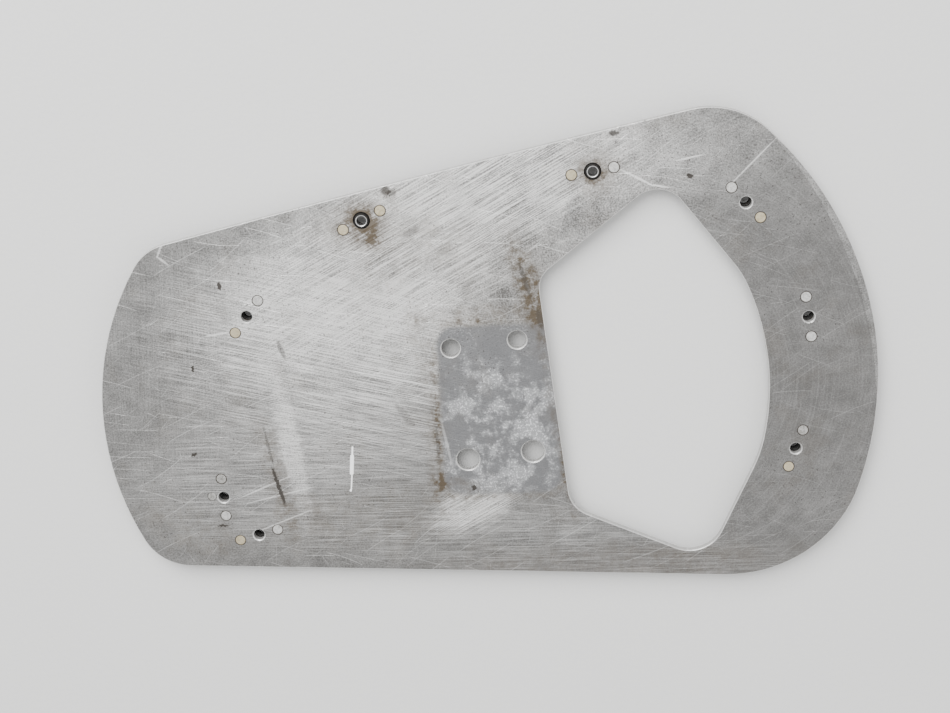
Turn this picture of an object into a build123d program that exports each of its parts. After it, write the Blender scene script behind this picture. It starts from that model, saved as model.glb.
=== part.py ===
"""Landing gear mounting plate.

A flat aluminium plate with a six-sided cut-out, four axle bolt holes and eight anchor nuts riveted
round its edge. It lies face up, and rests on the barrels of the six nuts that point down.

Frame, in millimetres: the origin is the centre of the axle bolt pattern on the front face. +X runs
along the pattern's short side, towards the cut-out, and +Y along its long side. +Z points out of the
front face, so the plate lies below Z = 0.
"""
import os
from math import cos, hypot, radians, sin, tan

from build123d import *

# Plate
plate_thickness = 3.2
edge_break = 0.3
hole_break = 0.45

# Overall size between the tips and between the outermost sharp corners, and how far the plate reaches
# from the axle bolt pattern. Places near an edge are measured from it, so that they move with it.
plate_length = 331.4
plate_width = 213.2
right = 162.8
top = 113.6
left = right - plate_length
bottom = top - plate_width

# Outline: its sharp corners, the tips of the two round ends, and the radius of each corner
corner_top_left = (left + 34.4, top - 28.6)
corner_bottom_left = (left + 12.6, bottom + 42.0)
corner_bottom_right = (right - 36.6, bottom)
corner_top_right = (right - 50.0, top)
left_tip = (left, -2.3)
right_tip = (right, 0.0)
top_edge_bow = 1.1
radius_top_left = 21.5
radius_bottom_left = 22.5
radius_bottom_right = 57.0
radius_top_right = 35.0

# Cut-out: its sharp corners and their radii. The side between the two right corners is an arc.
cutout_upper_left = (26.4, top - 62.6)
cutout_top = (right - 81.0, top - 27.4)
cutout_upper_right = (right - 53.1, top - 71.6)
cutout_lower_right = (right - 53.2, bottom + 59.2)
cutout_bottom = (right - 79.9, bottom + 13.6)
cutout_lower_left = (26.9, bottom + 45.8)
cutout_right_bow = 7.6
cutout_radius_upper_left = 10.5
cutout_radius_top = 12.5
cutout_radius_upper_right = 45.0
cutout_radius_lower_right = 60.0
cutout_radius_bottom = 15.0
cutout_radius_lower_left = 13.5

# Filed bevel along the right edge, widest in the middle and running out to nothing at both ends
bevel_width = 3.0
bevel_depth = 0.4
bevel_middle_angle = 16.0
bevel_half_angle = 23.0

# Axle bolt holes
bolt_spacing_x = 28.3
bolt_spacing_y = 50.8
upper_bolt_hole_diameter = 7.9
lower_bolt_hole_diameter = 9.8

# Anchor nuts: the place of each screw axis, and the direction of the line through its two rivets.
# The barrels of the first group point down, and those of the second come up through the plate.
hanging_nuts = {
    "left_upper": (left + 71.3, top - 62.9, 46.5),
    "left_lower": (left + 45.9, bottom + 70.6, 85.8),
    "bottom_left": (left + 58.0, bottom + 51.0, 9.4),
    "right_upper": (right - 48.3, top - 42.6, -53.2),
    "right_middle": (right - 27.1, 19.1, -87.5),
    "right_lower": (right - 37.3, bottom + 60.8, 65.0),
}
through_nuts = {
    "top_left": (-42.3, top - 28.5, 19.8),
    "top_right": (54.3, top - 21.2, 2.6),
}
screw_hole_diameter = 4.9
rivet_pitch = 17.46
lug_thickness = 1.0
lug_end_radius = 3.3
nut_waist_radius = 4.9
nut_height = 5.2
barrel_diameter = 6.8
barrel_root_slope = 0.5
barrel_tip_diameter = 6.0
barrel_taper_length = 1.6
barrel_clearance = 0.2
thread_bore_diameter = 4.1
thread_entry_slope = 0.35
thread_exit_slope = 0.15

# Rivets: countersunk heads, driven just below the front face, and upset tails on the nuts' lugs
rivet_diameter = 2.38
rivet_play = 0.02
rivet_head_diameter = 4.55
rivet_head_edge = 0.12
countersink_diameter = 5.0
countersink_angle = 100.0
rivet_tail_diameter = 3.7
rivet_tail_height = 1.1
rivet_tail_slope = 0.3

# Plug rivet, flush on both faces, in a stray hole beside the lower left nut
plugged_nut = "left_lower"
plug_offset = (-4.95, 1.1)
plug_diameter = 2.38
plug_head_diameter = 3.6
plug_countersink_diameter = 3.95

plate_back = -plate_thickness
sink_slope = tan(radians(countersink_angle / 2))
sink_offset = rivet_play / cos(radians(countersink_angle / 2))


def front_plane(point):
    """Plane on the front face at a point, its normal pointing up."""
    return Plane(origin=(point[0], point[1], 0), x_dir=(1, 0, 0), z_dir=(0, 0, 1))


def back_plane(point):
    """Plane on the back face at a point, its normal pointing down."""
    return Plane(origin=(point[0], point[1], plate_back), x_dir=(1, 0, 0), z_dir=(0, 0, -1))


def profile_plane(base):
    """Plane through a base plane's axis: its X is the base's X and its Y is the base's normal."""
    return Plane(origin=base.origin, x_dir=base.x_dir, z_dir=-base.y_dir)


def seat_plane(place, through=False):
    """Plane on a nut's flat base, its X along the rivets and its normal along the barrel."""
    x, y, angle = place
    along = (cos(radians(angle)), sin(radians(angle)), 0)
    if through:
        return Plane(origin=(x, y, plate_back - lug_thickness), x_dir=along, z_dir=(0, 0, 1))
    return Plane(origin=(x, y, plate_back), x_dir=along, z_dir=(0, 0, -1))


def rivet_points(place):
    """The two rivet axes beside a screw axis."""
    x, y, angle = place
    step_x = rivet_pitch / 2 * cos(radians(angle))
    step_y = rivet_pitch / 2 * sin(radians(angle))
    return [(x - step_x, y - step_y), (x + step_x, y + step_y)]


def arc_middle(start, end, bow):
    """Middle point of an arc that bows to the right of the way from its start to its end."""
    run_x = end[0] - start[0]
    run_y = end[1] - start[1]
    length = hypot(run_x, run_y)
    middle_x = (start[0] + end[0]) / 2 + bow * run_y / length
    middle_y = (start[1] + end[1]) / 2 - bow * run_x / length
    return (middle_x, middle_y)


def round_corners(sketch, corners):
    """Round a sketch's vertices, each named by its sharp corner and its radius."""
    for corner, radius in corners:
        vertex = sketch.vertices().sort_by_distance((corner[0], corner[1], 0))[0]
        fillet(vertex, radius)


def save(piece, name):
    """Label a piece and write it to its own file."""
    piece.part.label = name
    export_step(piece.part, f"parts/{name}.step")


# The plate's blank with its cut-out
with BuildPart() as plate:
    with BuildSketch(Plane.XY.offset(plate_back)) as outline:
        with BuildLine():
            ThreePointArc(corner_top_left, left_tip, corner_bottom_left)
            Line(corner_bottom_left, corner_bottom_right)
            ThreePointArc(corner_bottom_right, right_tip, corner_top_right)
            top_middle = arc_middle(corner_top_right, corner_top_left, top_edge_bow)
            ThreePointArc(corner_top_right, top_middle, corner_top_left)
        make_face()
        round_corners(
            outline,
            [
                (corner_top_left, radius_top_left),
                (corner_bottom_left, radius_bottom_left),
                (corner_bottom_right, radius_bottom_right),
                (corner_top_right, radius_top_right),
            ],
        )
    extrude(amount=plate_thickness)

    with BuildSketch(Plane.XY.offset(plate_back)) as cutout:
        with BuildLine():
            Polyline(cutout_upper_right, cutout_top, cutout_upper_left)
            Polyline(cutout_upper_left, cutout_lower_left, cutout_bottom, cutout_lower_right)
            right_middle = arc_middle(cutout_lower_right, cutout_upper_right, cutout_right_bow)
            ThreePointArc(cutout_lower_right, right_middle, cutout_upper_right)
        make_face()
        round_corners(
            cutout,
            [
                (cutout_upper_left, cutout_radius_upper_left),
                (cutout_top, cutout_radius_top),
                (cutout_upper_right, cutout_radius_upper_right),
                (cutout_lower_right, cutout_radius_lower_right),
                (cutout_bottom, cutout_radius_bottom),
                (cutout_lower_left, cutout_radius_lower_left),
            ],
        )
    extrude(amount=plate_thickness, mode=Mode.SUBTRACT)

    # Broken edges round the outline and the cut-out, front and back
    flat_faces = plate.faces().filter_by(Axis.Z).sort_by(Axis.Z)
    chamfer(flat_faces[0].edges() + flat_faces[-1].edges(), edge_break)

    # Axle bolt holes, deburred on the front
    for side, diameter in ((1, upper_bolt_hole_diameter), (-1, lower_bolt_hole_diameter)):
        with Locations(front_plane((0, side * bolt_spacing_y / 2))):
            with GridLocations(bolt_spacing_x, 0, 2, 1):
                CounterSinkHole(diameter / 2, diameter / 2 + hole_break, counter_sink_angle=90)

    # Screw holes over the nuts that hang below, and wider ones for the barrels that come through,
    # which are sloped on the back to clear the slope at the barrel's root
    for place in hanging_nuts.values():
        with Locations(front_plane(place)):
            screw_radius = screw_hole_diameter / 2
            CounterSinkHole(screw_radius, screw_radius + hole_break, counter_sink_angle=90)
    for place in through_nuts.values():
        with Locations(back_plane(place)):
            barrel_hole_radius = barrel_diameter / 2 + barrel_clearance
            CounterSinkHole(
                barrel_hole_radius,
                barrel_hole_radius + barrel_root_slope,
                counter_sink_angle=90,
            )

    # Countersunk rivet holes, two beside each nut
    for place in [*hanging_nuts.values(), *through_nuts.values()]:
        for point in rivet_points(place):
            with Locations(front_plane(point)):
                CounterSinkHole(
                    rivet_diameter / 2 + rivet_play,
                    countersink_diameter / 2,
                    counter_sink_angle=countersink_angle,
                )

    # The stray hole, countersunk on both faces
    plug_x = hanging_nuts[plugged_nut][0] + plug_offset[0]
    plug_y = hanging_nuts[plugged_nut][1] + plug_offset[1]
    for plane in (front_plane((plug_x, plug_y)), back_plane((plug_x, plug_y))):
        with Locations(plane):
            CounterSinkHole(
                plug_diameter / 2 + rivet_play,
                plug_countersink_diameter / 2,
                counter_sink_angle=countersink_angle,
            )

    # The filed bevel: a ring with a sloping inner face, whose inner edge is a wider circle than the
    # right edge and set off from it, so that it takes a crescent from the front face
    edge_circle = Edge.make_three_point_arc(corner_bottom_right, right_tip, corner_top_right)
    crescent_shift = bevel_width / (1 - cos(radians(bevel_half_angle)))
    crescent_radius = edge_circle.radius + crescent_shift - bevel_width
    crescent_x = edge_circle.arc_center.X - crescent_shift * cos(radians(bevel_middle_angle))
    crescent_y = edge_circle.arc_center.Y - crescent_shift * sin(radians(bevel_middle_angle))
    ring_width = 2 * bevel_width
    with BuildSketch(profile_plane(front_plane((crescent_x, crescent_y)))):
        with BuildLine():
            Polyline(
                (crescent_radius, 0),
                (crescent_radius + ring_width, -bevel_depth * ring_width / bevel_width),
                (crescent_radius + ring_width, bevel_depth),
                (crescent_radius, bevel_depth),
                close=True,
            )
        make_face()
    revolve(axis=Axis((crescent_x, crescent_y, 0), (0, 0, 1)), mode=Mode.SUBTRACT)

os.makedirs("parts", exist_ok=True)
save(plate, "mounting_plate")


def build_anchor_nut(seat):
    """One-piece anchor nut: two lugs with rivet holes, and a threaded barrel along the seat's normal."""
    with BuildPart() as nut:
        with BuildSketch(seat):
            Circle(nut_waist_radius)
            with GridLocations(rivet_pitch, 0, 2, 1):
                Circle(lug_end_radius)
            make_hull()
        extrude(amount=lug_thickness)

        with BuildSketch(profile_plane(seat)):
            with BuildLine():
                Polyline(
                    (0, 0),
                    (barrel_diameter / 2 + barrel_root_slope, 0),
                    (barrel_diameter / 2 + barrel_root_slope, lug_thickness),
                    (barrel_diameter / 2, lug_thickness + barrel_root_slope),
                    (barrel_diameter / 2, nut_height - barrel_taper_length),
                    (barrel_tip_diameter / 2, nut_height - thread_exit_slope),
                    (barrel_tip_diameter / 2 - thread_exit_slope, nut_height),
                    (0, nut_height),
                    close=True,
                )
            make_face()
        revolve(axis=Axis(seat.origin, seat.z_dir))

        # The threaded bore, sloped at the screw's way in and at the tip
        bore_radius = thread_bore_diameter / 2
        with Locations(Plane(origin=seat.origin, x_dir=seat.x_dir, z_dir=-seat.z_dir)):
            CounterSinkHole(bore_radius, bore_radius + thread_entry_slope, counter_sink_angle=90)
        with Locations(seat.offset(nut_height)):
            CounterSinkHole(bore_radius, bore_radius + thread_exit_slope, counter_sink_angle=90)

        with Locations(seat.offset(lug_thickness)):
            with GridLocations(rivet_pitch, 0, 2, 1):
                Hole(rivet_diameter / 2 + rivet_play)
    return nut


def build_rivet(point):
    """Driven rivet: a countersunk head under the front face, and an upset tail under a nut's lug."""
    head_radius = rivet_head_diameter / 2
    head_top = -(countersink_diameter / 2 - sink_offset - head_radius) / sink_slope
    cone_end = head_top - (head_radius - rivet_diameter / 2) / sink_slope
    lug_face = plate_back - lug_thickness
    tail_radius = rivet_tail_diameter / 2
    with BuildPart() as rivet:
        with BuildSketch(profile_plane(front_plane(point))):
            with BuildLine():
                Polyline(
                    (0, head_top + rivet_head_edge),
                    (head_radius - rivet_head_edge, head_top + rivet_head_edge),
                    (head_radius, head_top),
                    (rivet_diameter / 2, cone_end),
                    (rivet_diameter / 2, lug_face),
                    (tail_radius - rivet_tail_slope, lug_face),
                    (tail_radius, lug_face - rivet_tail_slope),
                    (tail_radius, lug_face - rivet_tail_height + rivet_tail_slope),
                    (tail_radius - rivet_tail_slope, lug_face - rivet_tail_height),
                    (0, lug_face - rivet_tail_height),
                    close=True,
                )
            make_face()
        revolve(axis=Axis((point[0], point[1], 0), (0, 0, 1)))
    return rivet


def build_plug(point):
    """Plug rivet: two countersunk heads on a short shank, each just inside its face."""
    head_radius = plug_head_diameter / 2
    head_depth = (plug_countersink_diameter / 2 - sink_offset - head_radius) / sink_slope
    cone_depth = head_depth + (head_radius - plug_diameter / 2) / sink_slope
    with BuildPart() as plug:
        with BuildSketch(profile_plane(front_plane(point))):
            with BuildLine():
                Polyline(
                    (0, -head_depth),
                    (head_radius, -head_depth),
                    (plug_diameter / 2, -cone_depth),
                    (plug_diameter / 2, plate_back + cone_depth),
                    (head_radius, plate_back + head_depth),
                    (0, plate_back + head_depth),
                    close=True,
                )
            make_face()
        revolve(axis=Axis((point[0], point[1], 0), (0, 0, 1)))
    return plug


for name, place in hanging_nuts.items():
    save(build_anchor_nut(seat_plane(place)), f"anchor_nut_{name}")
for name, place in through_nuts.items():
    save(build_anchor_nut(seat_plane(place, through=True)), f"anchor_nut_{name}")
for name, place in [*hanging_nuts.items(), *through_nuts.items()]:
    for letter, point in zip("ab", rivet_points(place)):
        save(build_rivet(point), f"rivet_{name}_{letter}")
save(build_plug((plug_x, plug_y)), "plug_rivet")
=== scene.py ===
"""Dresses the landing gear mounting plate: sanded and stained aluminium, dark anchor nuts and driven
rivets, on a pale studio floor. Places on the plate are in millimetres, as its own drawing gives them,
and Blender's lengths are in metres."""
import math
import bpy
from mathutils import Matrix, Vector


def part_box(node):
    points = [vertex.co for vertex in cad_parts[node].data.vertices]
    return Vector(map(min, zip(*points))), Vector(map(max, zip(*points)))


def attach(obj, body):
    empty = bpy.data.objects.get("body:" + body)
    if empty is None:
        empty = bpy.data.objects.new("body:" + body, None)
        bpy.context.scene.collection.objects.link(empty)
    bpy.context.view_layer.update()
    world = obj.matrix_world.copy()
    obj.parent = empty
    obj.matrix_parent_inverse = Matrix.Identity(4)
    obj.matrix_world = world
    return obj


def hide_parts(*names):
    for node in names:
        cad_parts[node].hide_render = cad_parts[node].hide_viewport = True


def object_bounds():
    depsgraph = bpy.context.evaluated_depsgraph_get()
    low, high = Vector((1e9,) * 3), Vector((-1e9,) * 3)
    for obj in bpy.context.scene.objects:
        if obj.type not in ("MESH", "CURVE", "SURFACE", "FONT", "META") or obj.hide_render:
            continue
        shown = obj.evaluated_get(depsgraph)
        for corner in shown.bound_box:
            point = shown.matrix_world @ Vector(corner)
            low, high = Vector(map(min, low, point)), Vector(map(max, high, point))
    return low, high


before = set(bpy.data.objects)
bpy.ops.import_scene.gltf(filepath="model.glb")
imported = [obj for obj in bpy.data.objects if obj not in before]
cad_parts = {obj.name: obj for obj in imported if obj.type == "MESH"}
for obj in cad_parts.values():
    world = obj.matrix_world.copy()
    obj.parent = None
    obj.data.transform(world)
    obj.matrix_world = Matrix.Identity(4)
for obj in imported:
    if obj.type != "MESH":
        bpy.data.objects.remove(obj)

from types import SimpleNamespace

import bmesh
import bpy
import numpy as np
from bpy.props import FloatProperty, FloatVectorProperty, IntProperty, PointerProperty
from mathutils import Matrix, Vector
from mathutils.geometry import delaunay_2d_cdt

bl_info = {
    "name": "Landing gear mounting plate",
    "version": (1, 0, 0),
    "blender": (4, 5, 0),
    "location": "View3D > Sidebar > Mounting plate",
    "description": "Finishes the plate, its anchor nuts and rivets, and sets the studio round them",
    "category": "Object",
}

MM = 0.001
CAD_BOX = [list(corner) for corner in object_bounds()]
FLOOR_HEIGHT = CAD_BOX[0][2]
PLATE_NODE = "mounting_plate"
NUT_NODES = sorted(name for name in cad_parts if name.startswith("anchor_nut_"))
RIVET_NODES = sorted(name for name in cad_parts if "rivet" in name)


# Shader maths

# Places of a Mix node's two colours among its inputs, and of the blend among its outputs
MIX_COLORS = (6, 7)
MIX_RESULT = 2


class Field:
    """A shader socket that Python's operators turn into Math nodes."""

    def __init__(self, shading, socket):
        self.shading = shading
        self.socket = socket

    def math(self, operation, *values):
        """The result of one Math node on these values."""
        return self.shading.math(operation, *values)

    def __add__(self, other):
        return self.math("ADD", self, other)

    __radd__ = __add__

    def __sub__(self, other):
        return self.math("SUBTRACT", self, other)

    def __rsub__(self, other):
        return self.math("SUBTRACT", other, self)

    def __mul__(self, other):
        return self.math("MULTIPLY", self, other)

    __rmul__ = __mul__

    def __truediv__(self, other):
        return self.math("DIVIDE", self, other)

    def __pow__(self, other):
        return self.math("POWER", self, other)

    def __abs__(self):
        return self.math("ABSOLUTE", self)

    def below(self, other):
        """The smaller of two values."""
        return self.math("MINIMUM", self, other)

    def above(self, other):
        """The larger of two values."""
        return self.math("MAXIMUM", self, other)


class Shading:
    """A material's node tree, with one method that makes any node and a few built from it."""

    def __init__(self, name):
        self.material = bpy.data.materials.new(name)
        self.material.use_nodes = True
        self.tree = self.material.node_tree
        self.tree.nodes.clear()

    def node(self, kind, settings=None, inputs=None, output=0):
        """Make a node, set its settings, feed its sockets, and give one of its outputs as a field."""
        made = self.tree.nodes.new(kind)
        for key, value in (settings or {}).items():
            setattr(made, key, value)
        for key, value in (inputs or {}).items():
            self.feed(made.inputs[key], value)
        return Field(self, made.outputs[output]) if made.outputs else None

    def feed(self, socket, value):
        """Link a field to a socket, or set the socket's own value."""
        if isinstance(value, Field):
            self.tree.links.new(value.socket, socket)
        else:
            socket.default_value = value

    def math(self, operation, *values):
        """The result of one Math node on these values."""
        return self.node("ShaderNodeMath", {"operation": operation}, dict(enumerate(values)))

    def vector(self, operation, *values, output=0):
        """The result of one Vector Math node."""
        return self.node(
            "ShaderNodeVectorMath", {"operation": operation}, dict(enumerate(values)), output
        )

    def parts(self, vector):
        """The three parts of a vector."""
        made = self.node("ShaderNodeSeparateXYZ", inputs={0: vector}).socket.node
        return [Field(self, socket) for socket in made.outputs]

    def channels(self, color):
        """The three channels of a colour."""
        made = self.node("ShaderNodeSeparateColor", inputs={0: color}).socket.node
        return [Field(self, socket) for socket in made.outputs]

    def join(self, x, y, z):
        """A vector from its three parts."""
        return self.node("ShaderNodeCombineXYZ", inputs={0: x, 1: y, 2: z})

    def ramp(self, value, low, high, start=0.0, end=1.0):
        """A smooth step of a value: start up to low, end from high on."""
        return self.node(
            "ShaderNodeMapRange",
            {"interpolation_type": "SMOOTHSTEP", "clamp": False},
            {"Value": value, "From Min": low, "From Max": high, "To Min": start, "To Max": end},
        )

    def mix(self, factor, first, second):
        """Blend two colours."""
        made = self.node("ShaderNodeMix", {"data_type": "RGBA"}, {"Factor": factor}).socket.node
        self.feed(made.inputs[MIX_COLORS[0]], first)
        self.feed(made.inputs[MIX_COLORS[1]], second)
        return Field(self, made.outputs[MIX_RESULT])

    def noise(self, place, size, detail=3.0, roughness=0.5, dimensions="2D"):
        """Noise from 0 to 1 whose main lumps are about size across, in the place's own unit."""
        return self.node(
            "ShaderNodeTexNoise",
            {"noise_dimensions": dimensions},
            {"Vector": place, "Scale": 1.0 / size, "Detail": detail, "Roughness": roughness},
        )

    def turned(self, place, centre, angle, size=(1.0, 1.0)):
        """Across and up from a centre, turned back by an angle in degrees and divided by a size."""
        offset = self.vector("SUBTRACT", place, (centre[0], centre[1], 0.0))
        cos, sin = math.cos(math.radians(angle)), math.sin(math.radians(angle))
        along = (cos / size[0], sin / size[0], 0.0)
        across = (-sin / size[1], cos / size[1], 0.0)
        return [self.vector("DOT_PRODUCT", offset, axis, output="Value") for axis in (along, across)]

    def oval(self, place, centre, radii, angle=0.0, strength=1.0, soft=0.7):
        """A soft-edged oval: its strength inside, 0 outside."""
        along, across = self.turned(place, centre, angle, radii)
        square = self.math("MULTIPLY_ADD", along, along, across * across)
        return self.ramp(square, (1.0 - soft) ** 2, (1.0 + soft) ** 2, strength, 0.0)

    def spot(self, place, centre, radii, angle, strength):
        """An oval with a firmer edge."""
        return self.oval(place, centre, radii, angle, strength, 0.3)

    def bar_distance(self, place, centre, half, angle=0.0):
        """Distance from a rectangle, 0 inside it."""
        along, across = self.turned(place, centre, angle)
        beyond = (abs(along) - half[0]).above(0.0)
        beside = (abs(across) - half[1]).above(0.0)
        return self.math("MULTIPLY_ADD", beyond, beyond, beside * beside) ** 0.5

    def stroke(self, place, start, end, width):
        """A thin line from start to end that narrows towards both."""
        run = (end[0] - start[0], end[1] - start[1])
        centre = ((start[0] + end[0]) / 2, (start[1] + end[1]) / 2)
        angle = math.degrees(math.atan2(run[1], run[0]))
        return self.oval(place, centre, (math.hypot(*run) / 2, width / 2), angle, 1.0, 0.4)

    def bar(self, place, centre, half, angle):
        """A sharp-edged bar with round ends: 1 inside, 0 outside."""
        distance = self.bar_distance(place, centre, (half[0] - half[1], 0.0), angle)
        return self.ramp(distance, half[1] * 0.75, half[1] * 1.15, 1.0, 0.0)

    def scratches(self, place, angle, cell, width, seed, spread, share):
        """Straight fine scratches, one in each cell of a stretched random pattern.

        Each cell's centre carries a short line, turned by a random part of the spread about the main
        angle, and only the given share of the cells has one.
        """
        grid = self.join(*self.turned(place, (seed * 7.3, seed * 3.1), angle, cell), 0.0)
        cells = self.node(
            "ShaderNodeTexVoronoi", {"voronoi_dimensions": "2D"}, {"Vector": grid, "Scale": 1.0}
        ).socket.node
        random = self.channels(Field(self, cells.outputs["Color"]))
        away = self.vector("SUBTRACT", grid, Field(self, cells.outputs["Position"]))
        lean = (random[0] - 0.5) * math.radians(spread)
        cos, sin = lean.math("COSINE", lean), lean.math("SINE", lean)
        across_x, across_y, _ = self.parts(self.vector("MULTIPLY", away, (cell[0], cell[1], 0.0)))
        along = across_x * cos + across_y * sin
        across = across_y * cos - across_x * sin
        across = across + along * along * (random[1] - 0.5) * (0.5 / cell[0])
        thin = self.ramp(abs(across), width * 0.25, width * 0.75, 1.0, 0.0)
        ends = self.ramp(abs(along), cell[0] * 0.25, cell[0] * 0.42, 1.0, 0.0)
        return thin * ends * self.ramp(random[2], 1.0 - share, 1.0)

    def brushed(self, place, angle, fine, length, seed):
        """A bundle of fine parallel lines: noise stretched along one direction."""
        lines = self.join(*self.turned(place, (seed * 11.0, seed * 5.0), angle, (length, fine)), 0.0)
        return self.noise(lines, 1.0, 3.0, 0.65)

    def scaled(self, vector, factor):
        """A vector times a number."""
        return self.vector("MULTIPLY", vector, (factor, factor, factor))

    def pushed(self, place, size, detail, amount):
        """A place pushed about by noise, so that a drawn mark has an uneven edge."""
        push = self.node(
            "ShaderNodeTexNoise",
            {"noise_dimensions": "2D"},
            {"Vector": place, "Scale": 1.0 / size, "Detail": detail},
            "Color",
        )
        shift = self.vector("SUBTRACT", push, (0.5, 0.5, 0.5))
        return self.vector("ADD", place, self.vector("MULTIPLY", shift, (amount * 2, amount * 2, 0.0)))

    def finish(self, color, roughness, metallic, height, bump_distance, **constants):
        """A principled surface with a bump, its varying sockets fed by fields."""
        bump = self.node("ShaderNodeBump", inputs={"Height": height, "Distance": bump_distance})
        made = self.node(
            "ShaderNodeBsdfPrincipled",
            inputs={
                "Base Color": color,
                "Roughness": roughness,
                "Metallic": metallic,
                "Normal": bump,
                **constants,
            },
        )
        self.node("ShaderNodeOutputMaterial", inputs={"Surface": made})
        return self.material


def rgb(color):
    """A property's colour with full opacity."""
    return (*color[:3], 1.0)


def dress(name, material):
    """Give a node of the frame one material."""
    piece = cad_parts[name]
    piece.data.materials.clear()
    piece.data.materials.append(material)


# Marks on the front face, read off the photograph and given in the plate's millimetres

# Brighter and duller areas: centre, radii, direction, change of tone. The brighter ones are partly the
# sanding's whiter metal and partly a painted highlight over the middle and the top; the duller ones are
# painted shade, where the light falls off towards the bottom and the right rim
SANDED_AND_HIGHLIGHT_AREAS = (
    ((-18.0, 68.0), (80.0, 40.0), 18, 0.38),
    ((-66.0, 20.0), (46.0, 44.0), 0, 0.02),
    ((70.0, 98.0), (60.0, 18.0), 4, 0.12),
)
# Bright marks with a broken edge: the first is a painted highlight along the crease of a dent, the second a
# sanded rub
RUB_AND_CREASE_HIGHLIGHT = (
    ((-89.5, -10.0), (3.5, 26.0), 2, 0.3),
    ((-13.0, -45.0), (15.0, 7.0), 26, 0.25),
)
PAINTED_SHADE_AREAS = (
    ((135.0, -10.0), (34.0, 90.0), 0, 0.09),
    ((-40.0, -34.0), (26.0, 24.0), 0, 0.08),
    ((50.0, -88.0), (80.0, 16.0), -4, 0.07),
)
# Sanding: direction of the lines in degrees, then patches by centre, half lengths, direction, strength
SANDED_PATCHES = (
    (23.0, (((-28, 70), (58, 24), 24, 1.0), ((-14, -46), (17, 9), 26, 1.6), ((25, 92), (45, 14), 8, 0.5))),
    (-20.0, (((-66, 22), (62, 34), -20, 0.9), ((-30, -4), (34, 16), -17, 0.5))),
    (-6.0, (((-82, -26), (58, 26), -5, 0.75), ((30, -76), (80, 16), -14, 0.6))),
    (80.0, (((-142, 36), (24, 46), 0, 0.16), ((-104, 62), (18, 20), 0, 0.12))),
)
SANDING_WIDTH = 0.4
SANDING_LENGTH = 27.0
# Faint arcs along the right rim: their centre, and the radii between which they set in
RIM_CENTRE = (60.0, 0.0)
RIM_START = (48.0, 66.0)
# Fine, short, long and steep scratches: direction, cell, width, seed, spread and share of the cells
SCRATCH_KINDS = (
    (-18.0, (30.0, 3.2), 0.26, 1.0, 30.0, 0.8),
    (10.0, (7.0, 6.0), 0.24, 5.0, 180.0, 0.6),
    (24.0, (36.0, 3.6), 0.28, 2.0, 24.0, 0.75),
    (68.0, (26.0, 7.0), 0.24, 3.0, 60.0, 0.6),
)
# Stains with a broken edge: centre, radii, direction, strength
BROWN_STAINS = (
    ((-42.0, 82.5), (9.0, 7.0), 0, 0.3),
    ((-38.5, 77.0), (4.0, 5.5), 0, 0.4),
    ((-50.0, 86.0), (15.0, 5.0), 14, 0.25),
    ((54.3, 91.0), (8.0, 6.5), 0, 0.55),
    ((-29.0, 95.4), (3.4, 2.8), 30, 0.6),
    ((21.5, 52.0), (4.5, 15.0), 14, 0.8),
    ((26.0, 31.0), (3.5, 9.0), 0, 0.8),
    ((1.0, 38.5), (25.0, 3.5), -3, 0.5),
    ((-25.5, 22.0), (4.0, 24.0), 6, 0.45),
    ((-27.0, -22.0), (3.5, 20.0), -5, 0.55),
    ((-20.0, -36.0), (9.0, 2.6), -15, 0.8),
    ((25.5, -12.0), (1.6, 38.0), 3, 0.8),
    ((-98.0, -24.0), (4.0, 24.0), 4, 0.6),
    ((-140.0, -42.0), (18.0, 9.0), -35, 0.35),
    ((-28.0, 66.0), (24.0, 8.0), 25, 0.3),
    ((-55.0, -46.0), (40.0, 12.0), 0, 0.3),
    ((30.0, -84.0), (60.0, 9.0), -6, 0.3),
)
# Grime round the two barrels that come through the plate, and faint tints: centre, radii, direction,
# strength
SOFT_STAINS = (
    ((-42.3, 85.1), (3.6, 3.6), 0, 0.6),
    ((-41.5, 83.5), (7.5, 8.0), 0, 0.42),
    ((54.3, 92.4), (4.0, 4.0), 0, 0.5),
    ((-42.0, 84.0), (17.0, 12.0), 12, 0.16),
    ((54.0, 91.0), (14.0, 9.0), 0, 0.14),
    ((-28.0, 71.0), (22.0, 12.0), 25, 0.1),
    ((10.0, 56.0), (22.0, 20.0), 20, 0.18),
    ((26.0, 37.0), (7.0, 14.0), 5, 0.3),
    ((-60.0, -52.0), (55.0, 14.0), 0, 0.09),
    ((40.0, -84.0), (70.0, 10.0), -5, 0.12),
)
# Small dark marks: centre, radii, direction, strength
DARK_MARKS = (
    ((-30.4, 96.2), (1.8, 1.9), 30, 0.75),
    ((-28.0, 94.8), (1.9, 1.3), 20, 0.5),
    ((64.7, 106.7), (2.2, 1.0), -10, 0.8),
    ((-106.1, 65.5), (0.9, 1.6), 0, 0.9),
    ((-124.3, 31.0), (0.6, 1.4), 5, 1.0),
    ((-131.7, -7.7), (1.5, 0.7), 20, 1.0),
    ((-125.5, -42.2), (2.6, 0.5), -5, 0.9),
    ((93.1, 85.0), (1.5, 1.0), -20, 0.9),
    ((-97.8, -27.0), (0.8, 9.0), 8, 1.0),
    ((-98.8, -8.0), (0.6, 10.0), 3, 0.5),
    ((-85.4, 34.5), (1.0, 4.5), 12, 0.6),
    ((-23.0, 77.5), (4.0, 1.3), 20, 0.45),
    ((-38.0, -2.0), (1.6, 6.0), 30, 0.4),
    ((-13.5, -38.8), (0.9, 1.3), 0, 1.0),
    ((-26.0, -16.0), (0.8, 8.0), -4, 0.5),
    ((20.8, 51.0), (1.0, 8.0), 10, 0.55),
    ((25.0, 33.0), (1.4, 4.5), 5, 0.5),
)
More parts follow.
